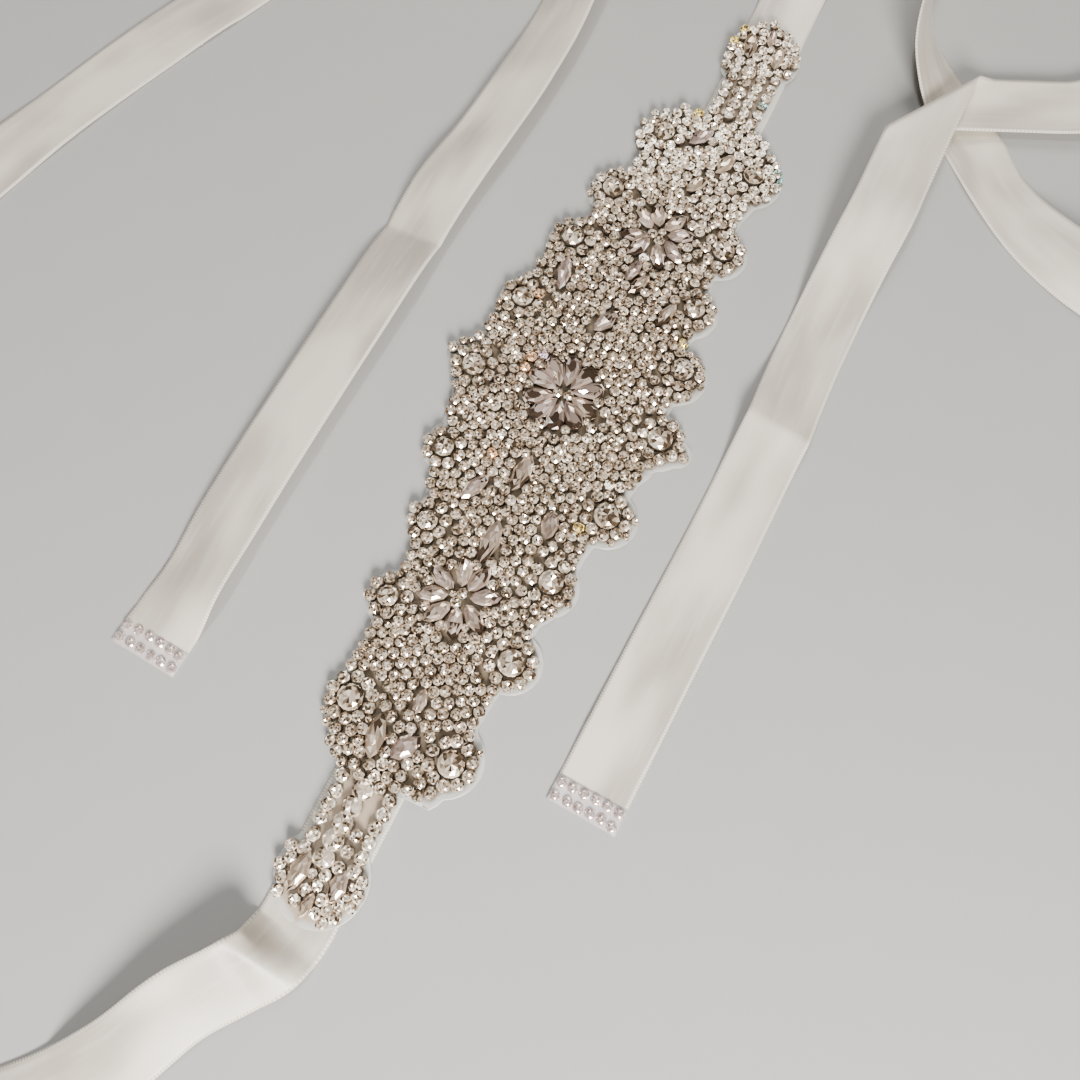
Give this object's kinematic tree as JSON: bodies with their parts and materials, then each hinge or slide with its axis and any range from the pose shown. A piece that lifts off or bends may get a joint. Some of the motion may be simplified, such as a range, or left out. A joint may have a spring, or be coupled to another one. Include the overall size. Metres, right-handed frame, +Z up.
{
  "type": "rhinestone belt",
  "caption": "Long satin ribbon belt laid flat in loops, with a scalloped applique of set stones on clear film at its middle and a short stone strip on each end.",
  "frame": {"origin": "on the table, under the middle of the applique", "axes": "+X along the applique, +Y towards the tail that lies beside it, +Z up from the table"},
  "size_m": [0.5166, 0.4707, 0.0225],
  "materials": {
    "satin_ribbon": "smooth satin with a soft sheen, ivory to blush grey",
    "clear_film": "thin clear backing film, slightly milky",
    "set_stones": "clear faceted stones in silver cups, warm grey gaps between them"
  },
  "bodies": {
    "root": {"ribbon_waist": "satin_ribbon", "tail_b_end": "satin_ribbon", "tail_b_turn_4": "satin_ribbon", "tail_b_turn_3": "satin_ribbon", "tail_b_corner": "satin_ribbon", "tail_b_back": "satin_ribbon", "tail_b_turn_2": "satin_ribbon", "tail_b_turn_1": "satin_ribbon", "tail_b_root": "satin_ribbon", "tail_a_root": "satin_ribbon", "tail_a_turn_1": "satin_ribbon", "tail_a_under": "satin_ribbon", "tail_a_turn_2": "satin_ribbon", "tail_a_turn_3": "satin_ribbon", "tail_a_turn_4": "satin_ribbon", "tail_a_fold": "satin_ribbon", "tail_a_end": "satin_ribbon", "film_backing": "clear_film", "stone_bed": "set_stones", "end_strip_a": "clear_film", "end_strip_b": "clear_film"}
  },
  "joints": []
}
